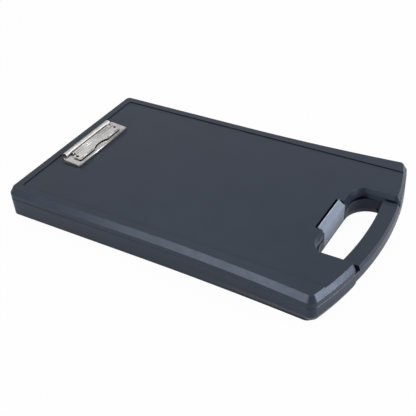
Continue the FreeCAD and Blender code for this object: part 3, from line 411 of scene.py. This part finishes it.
@dataclass
class Finishes:
    """Every finish of the box, made once and shared by its pieces."""

    charcoal: MouldedPlastic = MouldedPlastic(
        "charcoal_plastic", colour=(0.024, 0.031, 0.047), rubbed=(0.070, 0.082, 0.110))
    latch_grey: MouldedPlastic = MouldedPlastic(
        "latch_grey_plastic", colour=(0.22, 0.255, 0.32), rubbed=(0.46, 0.51, 0.58), roughness=(0.32, 0.42))
    # Pale copy of the latch plastic: a painted highlight for the thumb lip along the latch's top edge.
    latch_edge: MouldedPlastic = MouldedPlastic(
        "latch_edge_plastic", colour=(0.52, 0.56, 0.62), rubbed=(0.60, 0.64, 0.70), roughness=(0.30, 0.38))
    nickel: RolledSteel = RolledSteel("nickel_plate", colour=(0.66, 0.645, 0.64), shade=(0.52, 0.51, 0.505))
    pin: RolledSteel = RolledSteel("pin_steel", colour=(0.56, 0.56, 0.55), shade=(0.44, 0.44, 0.43))
    wire: RolledSteel = RolledSteel(
        "spring_wire", colour=(0.50, 0.49, 0.46), shade=(0.34, 0.33, 0.31), drawn=(1.0, 1.0, 1.0))
    rivet: RolledSteel = RolledSteel("rivet_steel", colour=(0.62, 0.61, 0.58), shade=(0.48, 0.47, 0.45))

    def __post_init__(self) -> None:
        """Builds the materials by the finish that they belong to."""
        self.made = {
            finish.name: finish.build()
            for finish in (
                self.charcoal, self.latch_grey, self.latch_edge, self.nickel, self.pin, self.wire, self.rivet)
        }

    def paint(self, piece: bpy.types.Object, finish: MouldedPlastic | RolledSteel) -> None:
        """Puts a finish on a piece.

        Args:
            piece: The piece to paint.
            finish: One of the finishes above.
        """
        piece.data.materials.clear()
        piece.data.materials.append(self.made[finish.name])


def soften(piece: bpy.types.Object, radius: float, steps: int = 2, angle: float = 20.0) -> None:
    """Rounds a piece's sharp edges a little, as a mould or a press leaves them.

    Args:
        piece: The piece to soften.
        radius: Width of the rounding in metres.
        steps: Faces across the rounding.
        angle: Least angle in degrees between two faces that counts as an edge.
    """
    weld = piece.modifiers.new("joined_corners", "WELD")
    weld.merge_threshold = WELD_DISTANCE
    rounding = piece.modifiers.new("edge_rounding", "BEVEL")
    rounding.width = radius
    rounding.segments = steps
    rounding.limit_method = "ANGLE"
    rounding.angle_limit = math.radians(angle)
    shading = piece.modifiers.new("flat_faces_stay_flat", "WEIGHTED_NORMAL")
    shading.weight = 100
    for polygon in piece.data.polygons:
        polygon.use_smooth = True


def sweep_wire(name: str, line: list[Vector], radius: float, sides: int = 10) -> bpy.types.Object:
    """Round wire along a line, closed at both ends.

    Args:
        name: Name of the new piece.
        line: Points that the wire's middle follows.
        radius: Half the wire's thickness.
        sides: Faces round the wire.

    Returns:
        The new piece, at the frame's origin.
    """
    mesh = bmesh.new()
    way = (line[1] - line[0]).normalized()
    across = way.orthogonal().normalized()
    rings = []
    for number, point in enumerate(line):
        before, after = line[max(number - 1, 0)], line[min(number + 1, len(line) - 1)]
        turned = (after - before).normalized()
        across = (across - turned * across.dot(turned)).normalized()
        beside = turned.cross(across)
        ring = []
        for step in range(sides):
            angle = 2 * math.pi * step / sides
            ring.append(mesh.verts.new(point + radius * (math.cos(angle) * across + math.sin(angle) * beside)))
        rings.append(ring)
    for first, second in zip(rings, rings[1:]):
        for step in range(sides):
            after = (step + 1) % sides
            mesh.faces.new((first[step], first[after], second[after], second[step]))
    mesh.faces.new(rings[0][::-1])
    mesh.faces.new(rings[-1])
    bmesh.ops.recalc_face_normals(mesh, faces=mesh.faces)
    made = bpy.data.meshes.new(name)
    mesh.to_mesh(made)
    mesh.free()
    for polygon in made.polygons:
        polygon.use_smooth = len(polygon.vertices) == 4
    piece = bpy.data.objects.new(name, made)
    bpy.context.scene.collection.objects.link(piece)
    return piece


@dataclass
class WoundSpring:
    """Torsion spring of round wire wound along X, with a straight leg at each end."""

    node: str
    finishes: Finishes
    axis: Vector
    coil_radius: float
    wire: float
    low: float
    high: float
    first_leg: list[Vector]
    last_leg: list[Vector]
    first_angle: float
    last_angle: float
    gap: float = 0.06 * MM
    steps: int = 20

    def turns(self) -> int:
        """Number of coils that fit between the two ends."""
        return round((self.high - self.low - self.wire) / (self.wire + self.gap))

    def line(self) -> list[Vector]:
        """Lays out the middle line of the wire.

        Returns:
            Points of the first leg, the coils and the last leg.
        """
        sweep = 2 * math.pi * self.turns() + self.last_angle - self.first_angle
        count = self.steps * self.turns()
        coils = []
        for number in range(count + 1):
            share = number / count
            angle = self.first_angle + sweep * share
            coils.append(Vector((
                self.low + self.wire / 2 + (self.high - self.low - self.wire) * share,
                self.axis.y + self.coil_radius * math.cos(angle),
                self.axis.z + self.coil_radius * math.sin(angle),
            )))
        return self.first_leg + coils + self.last_leg

    def build(self) -> bpy.types.Object:
        """Makes the spring in its CAD node's place.

        Returns:
            The wound spring.
        """
        spring = sweep_wire(self.node + "_wound", self.line(), self.wire / 2)
        self.finishes.paint(spring, self.finishes.wire)
        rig.slot(spring, Slot.SPRING.value)
        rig.ride(spring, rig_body(self.node))
        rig.replaces(spring, self.node)
        LOG.info("%s: %d turns of %.2f mm wire", spring.name, self.turns(), self.wire / MM)
        return spring


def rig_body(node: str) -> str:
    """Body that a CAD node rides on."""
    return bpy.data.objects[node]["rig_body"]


@dataclass
class CaseShells:
    """Moulded base with its bow handle, and the lid with its writing surface."""

    nodes: dict[str, bpy.types.Object]
    finishes: Finishes

    def dress(self) -> None:
        """Gives both shells their plastic, whose finish rounds their edges."""
        for name in ("base_tray", "lid"):
            shell = self.nodes[name]
            self.finishes.paint(shell, self.finishes.charcoal)
            LOG.info("%s: moulded charcoal plastic", name)


@dataclass
class LidHinge:
    """Steel pins through the knuckles along the clip end."""

    nodes: dict[str, bpy.types.Object]
    finishes: Finishes
    edge: float = 0.2 * MM

    def dress(self) -> None:
        """Gives the pins their steel."""
        for side in Side:
            pin = self.nodes["hinge_pin_" + side.word]
            self.finishes.paint(pin, self.finishes.pin)
            soften(pin, self.edge, angle=60)
            LOG.info("%s: steel", pin.name)


@dataclass
class LidLatch:
    """Sprung plate in the handle opening that holds the lid shut."""

    nodes: dict[str, bpy.types.Object]
    finishes: Finishes
    edge: float = 0.3 * MM
    wire: float = 0.56 * MM
    lip: float = 0.42 * MM
    lip_inset: float = 0.6 * MM
    ridge: float = 0.16 * MM
    ridge_step: float = 2.6 * MM
    plate_slope: float = 0.73

    def dress(self) -> None:
        """Gives the plate and its pin their finishes and winds the spring."""
        self.finishes.paint(self.nodes["latch_lever"], self.finishes.latch_grey)
        soften(self.nodes["latch_lever"], self.edge)
        self.finishes.paint(self.nodes["latch_pin"], self.finishes.pin)
        soften(self.nodes["latch_pin"], self.edge / 2, angle=60)
        self.wind_spring()
        self.edge_plate()
        LOG.info("latch_lever: light grey plastic")

    def edge_plate(self) -> None:
        """Puts the thumb lip along the plate's top edge, painted pale as the edge's highlight, and a fine ridge in
        front of it.
        """
        low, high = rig.box("latch_lever")
        half = high.x - self.lip_inset
        for name, radius, back, finish in (
            # The thumb lip takes the pale plastic as a painted highlight; the ridge takes the latch's own grey.
            ("latch_thumb_lip", self.lip, self.lip, self.finishes.latch_edge),
            ("latch_ridge", self.ridge, self.ridge_step, self.finishes.latch_grey),
        ):
            height = high.z - self.lip - (back - self.lip) * self.plate_slope
            ends = [Vector((side.value * half, high.y - back, height)) for side in Side]
            bar = sweep_wire(name, ends, radius, sides=16)
            self.finishes.paint(bar, finish)
            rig.slot(bar, Slot.LATCH.value)
            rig.ride(bar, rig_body("latch_lever"))
            LOG.info("%s: moulded along the latch", name)

    def wind_spring(self) -> None:
        """Winds the spring round the latch's pin, one leg on the plate and one on the well's wall."""
        pin_low, pin_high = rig.box("latch_pin")
        low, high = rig.box("latch_spring")
        axis = (pin_low + pin_high) / 2
        radius = axis.y - low.y - self.wire / 2
        top = high.z
        plate_leg = [Vector((high.x - self.wire / 2, axis.y - radius, top))]
        wall_leg = [Vector((low.x + self.wire / 2, high.y - self.wire, top - self.wire / 2))]
        WoundSpring(
            "latch_spring", self.finishes, axis, radius, self.wire, low.x, high.x,
            first_leg=wall_leg, last_leg=plate_leg, first_angle=0.0, last_angle=math.pi,
        ).build()


@dataclass
class LeverSheet:
    """Pressed sheet of the clip's lever: sloping plate, arched finger cut, beads and turned-down ends."""

    finishes: Finishes
    pin: Vector
    rear_half: float = 35.0 * MM
    front_half: float = 41.0 * MM
    barrel: float = 1.6 * MM
    step: float = 4.6 * MM
    front: float = 15.8 * MM
    fall: float = 2.9 * MM
    thick: float = 0.8 * MM
    corner: float = 1.8 * MM
    cut_half: float = 14.0 * MM
    cut_depth: float = 3.6 * MM
    hole_side: float = 38.2 * MM
    hole_reach: float = 8.8 * MM
    hole: float = 2.1 * MM
    skirt: float = 1.6 * MM
    rear_skirt: float = 2.56 * MM
    bead: float = 0.55 * MM
    bead_sunk: float = 1 / 3
    bead_places: tuple[float, ...] = (2.4 * MM, 5.2 * MM, 14.6 * MM)
    steps: int = 10

    def point(self, x: float, reach: float, lift: float = 0.0) -> Vector:
        """Point on the plate's top.

        Args:
            x: Place along the lever.
            reach: Distance in front of the pin.
            lift: Height above the plate's top.

        Returns:
            The point in the frame.
        """
        return Vector((x, self.pin.y - reach, self.pin.z + self.barrel - self.fall * reach / self.front + lift))

    def arc(self, x: float, reach: float, radius: float, start: float, end: float) -> list[tuple[float, float]]:
        """Points of a round in the plate's own plan.

        Args:
            x: Middle of the round along the lever.
            reach: Middle of the round in front of the pin.
            radius: Radius of the round.
            start: First angle in degrees.
            end: Last angle in degrees.

        Returns:
            Pairs of place and reach.
        """
        turns = [math.radians(start + (end - start) * step / self.steps) for step in range(self.steps + 1)]
        return [(x + radius * math.cos(turn), reach + radius * math.sin(turn)) for turn in turns]

    def outline(self) -> list[tuple[float, float]]:
        """Plan of the plate, once round.

        Returns:
            Pairs of place along the lever and reach in front of the pin.
        """
        turn = self.corner
        far = self.front_half - turn
        sweep = (self.cut_half ** 2 + self.cut_depth ** 2) / (2 * self.cut_depth)
        spread = math.degrees(math.asin(self.cut_half / sweep))
        cut = self.arc(0, self.front + sweep - self.cut_depth, sweep, 270 + spread, 270 - spread)
        right = [(self.rear_half, 0.0), (self.rear_half, self.step)]
        right += self.arc(far, self.step + turn, turn, 270, 360)
        right += self.arc(far, self.front - turn, turn, 0, 90)
        left = [(-x, reach) for x, reach in reversed(right)]
        return right + cut + left

    def plate(self) -> bpy.types.Object:
        """Makes the plate with its two holes.

        Returns:
            The plate as an open sheet that a modifier thickens.
        """
        mesh = bmesh.new()
        holes = [self.arc(side.value * self.hole_side, self.hole_reach, self.hole, 0, 360)[:-1] for side in Side]
        for loop in (self.outline(), *holes):
            corners = [mesh.verts.new(self.point(x, reach)) for x, reach in loop]
            for first, second in zip(corners, corners[1:] + corners[:1]):
                mesh.edges.new((first, second))
        bmesh.ops.triangle_fill(mesh, use_beauty=True, use_dissolve=False, edges=mesh.edges)
        for face in mesh.faces:
            if face.normal.z < 0:
                face.normal_flip()
        made = bpy.data.meshes.new("clip_lever_plate")
        mesh.to_mesh(made)
        mesh.free()
        plate = bpy.data.objects.new("clip_lever_plate", made)
        bpy.context.scene.collection.objects.link(plate)
        sheet = plate.modifiers.new("sheet", "SOLIDIFY")
        sheet.thickness = self.thick
        sheet.offset = -1.0
        return plate

    def skirts(self) -> bpy.types.Object:
        """Makes the turned-down ends that close the space under the plate.

        Returns:
            Both ends as one piece.
        """
        mesh = bmesh.new()
        rear, front = self.step + self.corner, self.front - self.corner
        for side in Side:
            outer = side.value * self.front_half
            inner = outer - side.value * self.thick
            corners = []
            for x in (outer, inner):
                corners += [self.point(x, rear, -self.thick / 2), self.point(x, front, -self.thick / 2),
                            self.point(x, front, -self.skirt), self.point(x, rear, -self.rear_skirt)]
            made = [mesh.verts.new(corner) for corner in corners]
            for ring in ((0, 1, 2, 3), (4, 5, 6, 7), (0, 1, 5, 4), (1, 2, 6, 5), (2, 3, 7, 6), (3, 0, 4, 7)):
                mesh.faces.new([made[number] for number in ring])
        bmesh.ops.recalc_face_normals(mesh, faces=mesh.faces)
        made = bpy.data.meshes.new("clip_lever_ends")
        mesh.to_mesh(made)
        mesh.free()
        ends = bpy.data.objects.new("clip_lever_ends", made)
        bpy.context.scene.collection.objects.link(ends)
        return ends

    def build(self, edge: float) -> None:
        """Makes every piece of the lever in its CAD node's place.

        Args:
            edge: Width of the softened edges.
        """
        pieces = [self.plate(), self.skirts()]
        for piece in pieces:
            soften(piece, edge, angle=35)
        barrel = [Vector((side.value * self.rear_half, self.pin.y, self.pin.z)) for side in Side]
        pieces.append(sweep_wire("clip_lever_barrel", barrel, self.barrel, sides=24))
        for number, reach in enumerate(self.bead_places):
            half = self.rear_half - self.barrel if reach < self.step + self.bead else self.front_half - self.corner
            gaps = [(-half, half)] if reach < self.front - self.cut_depth else [(-half, -self.cut_half),
                                                                              (self.cut_half, half)]
            for part, ends in enumerate(gaps):
                line = [self.point(x, reach, -self.bead * self.bead_sunk) for x in ends]
                pieces.append(sweep_wire(f"clip_lever_bead_{number}_{part}", line, self.bead, sides=14))
        for piece in pieces:
            self.finishes.paint(piece, self.finishes.nickel)
            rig.slot(piece, Slot.CLIP.value)
            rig.ride(piece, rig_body("clip_lever"))
            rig.replaces(piece, "clip_lever")
        LOG.info("clip_lever: pressed sheet in %d pieces", len(pieces))


@dataclass
class PaperClip:
    """Nickel-plated spring clip: plate, jaw, lever, rod, springs and rivets."""

    nodes: dict[str, bpy.types.Object]
    finishes: Finishes
    edge: float = 0.18 * MM
    wire: float = 0.7 * MM
    hem: float = 1.0 * MM
    hem_sunk: float = 1 / 3
    hem_inset: float = 1.6 * MM
    hem_height: float = 3.1 * MM

    def dress(self) -> None:
        """Gives every piece of the clip its finish and winds the two springs."""
        for name in ("clip_base_plate", "clip_jaw"):
            self.finishes.paint(self.nodes[name], self.finishes.nickel)
            soften(self.nodes[name], self.edge)
            LOG.info("%s: nickel-plated sheet", name)
        for name in ("clip_rod", "clip_lever_pin"):
            self.finishes.paint(self.nodes[name], self.finishes.pin)
            soften(self.nodes[name], self.edge, angle=60)
        for side in Side:
            for name in ("clip_rivet_", "rivet_washer_"):
                self.finishes.paint(self.nodes[name + side.word], self.finishes.rivet)
                soften(self.nodes[name + side.word], self.edge, angle=60)
            self.wind_spring(side)
        pin_low, pin_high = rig.box("clip_lever_pin")
        LeverSheet(self.finishes, (pin_low + pin_high) / 2).build(self.edge)
        self.roll_hem()

    def roll_hem(self) -> None:
        """Rolls the hem along the jaw's front lip."""
        low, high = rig.box("clip_jaw")
        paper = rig.box("clip_base_plate")[0].z
        place = Vector((0, low.y + self.hem * self.hem_sunk, paper + self.hem_height))
        ends = [place + Vector((x, 0, 0)) for x in (low.x + self.hem_inset, high.x - self.hem_inset)]
        hem = sweep_wire("clip_jaw_hem", ends, self.hem, sides=20)
        self.finishes.paint(hem, self.finishes.nickel)
        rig.slot(hem, Slot.CLIP.value)
        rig.ride(hem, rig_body("clip_jaw"))
        LOG.info("clip_jaw_hem: rolled front edge")

    def wind_spring(self, side: Side) -> None:
        """Winds the spring of one side round the rod, with a leg on the base plate and one in the curl.

        Args:
            side: Which of the two springs.
        """
        rod_low, rod_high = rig.box("clip_rod")
        low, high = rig.box("clip_spring_" + side.word)
        axis = (rod_low + rod_high) / 2
        radius = high.y - axis.y - self.wire / 2
        foot = Vector((0, low.y + self.wire / 2, low.z + self.wire / 2))
        inner = low.x if side is Side.RIGHT else high.x
        foot.x = inner + side.value * self.wire / 2
        down, up = -math.pi / 2, math.pi / 2
        tail = Vector((low.x + high.x - foot.x, axis.y - radius, axis.z + radius))
        from_low = side is Side.RIGHT
        WoundSpring(
            "clip_spring_" + side.word, self.finishes, axis, radius, self.wire, low.x, high.x,
            first_leg=[foot] if from_low else [tail], last_leg=[tail] if from_low else [foot],
            first_angle=down if from_low else up, last_angle=up if from_low else down,
        ).build()


@dataclass(frozen=True)
class Lamp:
    """Square soft lamp: where it hangs in metres, the side of its face, its watts and its light's colour."""

    name: str
    place: tuple[float, float, float]
    size: float
    power: float
    colour: tuple[float, float, float] = (1.0, 1.0, 1.0)

    def hang(self) -> None:
        """Hangs the lamp so that it faces the box."""
        lamp = bpy.data.lights.new(self.name, "AREA")
        lamp.size = self.size
        lamp.energy = self.power
        lamp.color = self.colour
        hung = bpy.data.objects.new(self.name, lamp)
        hung.location = self.place
        hung.rotation_mode = "QUATERNION"
        hung.rotation_quaternion = Vector(self.place).to_track_quat("Z", "Y")
        bpy.context.scene.collection.objects.link(hung)


@dataclass
class Studio:
    """Plain white table, soft lamps and the camera at the photograph's angle."""

    lens: float = 69.40
    place: Vector = field(default_factory=lambda: Vector((-652.874, -408.432, 563.737)) * MM)
    azimuth: float = -57.550
    elevation: float = 36.533
    roll: float = -3.431
    sensor: float = 36.0
    table_half: float = 4.0
    table_gap: float = 0.05 * MM
    table_white: float = 0.97
    paper_white: float = 0.86
    ambient: float = 0.2
    mirrored_white: float = 0.5
    mirrored_table: float = 0.3
    lamps: tuple[Lamp, ...] = (
        Lamp("overhead_softbox", (0.2, 0.4, 1.5), 1.2, 8.5),
        Lamp("side_softbox", (-1.5, 0.45, 0.5), 0.8, 11.5),
        Lamp("far_softbox", (0.96, -0.62, 0.9), 0.9, 4.0),
        Lamp("handle_softbox", (0.35, -1.5, 0.42), 0.7, 17.5, (0.90, 0.93, 1.0)),
    )

    def camera_turn(self) -> Matrix:
        """Camera's orientation.

        Returns:
            Rotation whose columns are the picture's right, its up and the way back.
        """
        azimuth, elevation, roll = (math.radians(x) for x in (self.azimuth, self.elevation, self.roll))
        back = Vector((
            math.sin(azimuth) * math.cos(elevation), -math.cos(azimuth) * math.cos(elevation), math.sin(elevation)))
        level = Vector((0, 0, 1)).cross(back).normalized()
        upright = back.cross(level)
        right = math.cos(roll) * level + math.sin(roll) * upright
        up = math.cos(roll) * upright - math.sin(roll) * level
        return Matrix((right, up, back)).transposed()

    def set_camera(self) -> None:
        """Makes the camera."""
        lens = bpy.data.cameras.new("photo_camera")
        lens.lens = self.lens
        lens.sensor_width = self.sensor
        lens.clip_start, lens.clip_end = 0.05, 20.0
        camera = bpy.data.objects.new("photo_camera", lens)
        camera.matrix_world = Matrix.Translation(self.place) @ self.camera_turn().to_4x4()
        bpy.context.scene.collection.objects.link(camera)
        bpy.context.scene.camera = camera

    def seen(self, tree: bpy.types.NodeTree, mirrored: float = 1.0) -> bpy.types.NodeSocket:
        """Value that is 1 for what the camera sees, also in metal and through glass.

        Args:
            tree: Node tree that asks.
            mirrored: How much of it shows in glossy surfaces.

        Returns:
            The value's socket.
        """
        path = tree.nodes.new("ShaderNodeLightPath")
        glossy = tree.nodes.new("ShaderNodeMath")
        glossy.operation = "MULTIPLY"
        glossy.inputs[1].default_value = mirrored
        tree.links.new(path.outputs["Is Glossy Ray"], glossy.inputs[0])
        total = path.outputs["Is Camera Ray"]
        for other in (glossy.outputs["Value"], path.outputs["Is Transmission Ray"]):
            larger = tree.nodes.new("ShaderNodeMath")
            larger.operation = "MAXIMUM"
            tree.links.new(total, larger.inputs[0])
            tree.links.new(other, larger.inputs[1])
            total = larger.outputs["Value"]
        return total

    def lay_table(self) -> None:
        """Lays the white table, which keeps the box's soft shadow."""
        mesh = bmesh.new()
        half = self.table_half
        corners = [mesh.verts.new((x * half, y * half, 0)) for x, y in ((-1, -1), (1, -1), (1, 1), (-1, 1))]
        mesh.faces.new(corners)
        made = bpy.data.meshes.new("white_table")
        mesh.to_mesh(made)
        mesh.free()
        table = bpy.data.objects.new("white_table", made)
        table.location.z = -self.table_gap
        bpy.context.scene.collection.objects.link(table)
        paper = bpy.data.materials.new("white_paper")
        paper.use_nodes = True
        tree = paper.node_tree
        tree.nodes.clear()
        matte = tree.nodes.new("ShaderNodeBsdfDiffuse")
        matte.inputs["Color"].default_value = (*(self.paper_white,) * 3, 1)
        glow = tree.nodes.new("ShaderNodeEmission")
        mixed = tree.nodes.new("ShaderNodeMixShader")
        share = tree.nodes.new("ShaderNodeMath")
        share.operation = "MULTIPLY"
        share.inputs[1].default_value = self.table_white
        tree.links.new(self.seen(tree, self.mirrored_table), share.inputs[0])
        tree.links.new(share.outputs["Value"], mixed.inputs["Fac"])
        tree.links.new(matte.outputs["BSDF"], mixed.inputs[1])
        tree.links.new(glow.outputs["Emission"], mixed.inputs[2])
        output = tree.nodes.new("ShaderNodeOutputMaterial")
        tree.links.new(mixed.outputs["Shader"], output.inputs["Surface"])
        table.data.materials.append(paper)
        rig.stage(table)

    def light_room(self) -> None:
        """Lights the room evenly; what the camera sees of it is white."""
        world = bpy.data.worlds.new("white_room")
        bpy.context.scene.world = world
        world.use_nodes = True
        tree = world.node_tree
        tree.nodes.clear()
        even = tree.nodes.new("ShaderNodeBackground")
        even.inputs["Strength"].default_value = self.ambient
        white = tree.nodes.new("ShaderNodeBackground")
        white.inputs["Color"].default_value = (1, 1, 1, 1)
        mixed = tree.nodes.new("ShaderNodeMixShader")
        tree.links.new(self.seen(tree, self.mirrored_white), mixed.inputs["Fac"])
        tree.links.new(even.outputs["Background"], mixed.inputs[1])
        tree.links.new(white.outputs["Background"], mixed.inputs[2])
        output = tree.nodes.new("ShaderNodeOutputWorld")
        tree.links.new(mixed.outputs["Shader"], output.inputs["Surface"])

    def build(self) -> None:
        """Sets up the whole studio."""
        bpy.context.scene.view_settings.view_transform = "Standard"
        self.set_camera()
        self.lay_table()
        self.light_room()
        for lamp in self.lamps:
            lamp.hang()


def write_sizes(cad: tuple[Vector, Vector], dressed: tuple[Vector, Vector]) -> None:
    """Writes the CAD box and the dressed box.

    Args:
        cad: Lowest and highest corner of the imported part.
        dressed: Lowest and highest corner with the scene's pieces.
    """
    with open(SIZE_FILE, "w", encoding="utf-8") as file:
        json.dump({"cad": [list(corner) for corner in cad], "visual": [list(corner) for corner in dressed]}, file)


def main() -> None:
    """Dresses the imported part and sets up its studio."""
    logging.basicConfig(level=logging.INFO, format="%(name)s: %(message)s")
    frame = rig.load()
    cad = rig.bounds()
    finishes = Finishes()
    for assembly in (CaseShells, LidHinge, LidLatch, PaperClip):
        assembly(frame["nodes"], finishes).dress()
    Studio().build()
    write_sizes(cad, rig.bounds())


if __name__ == "__main__":
    main()
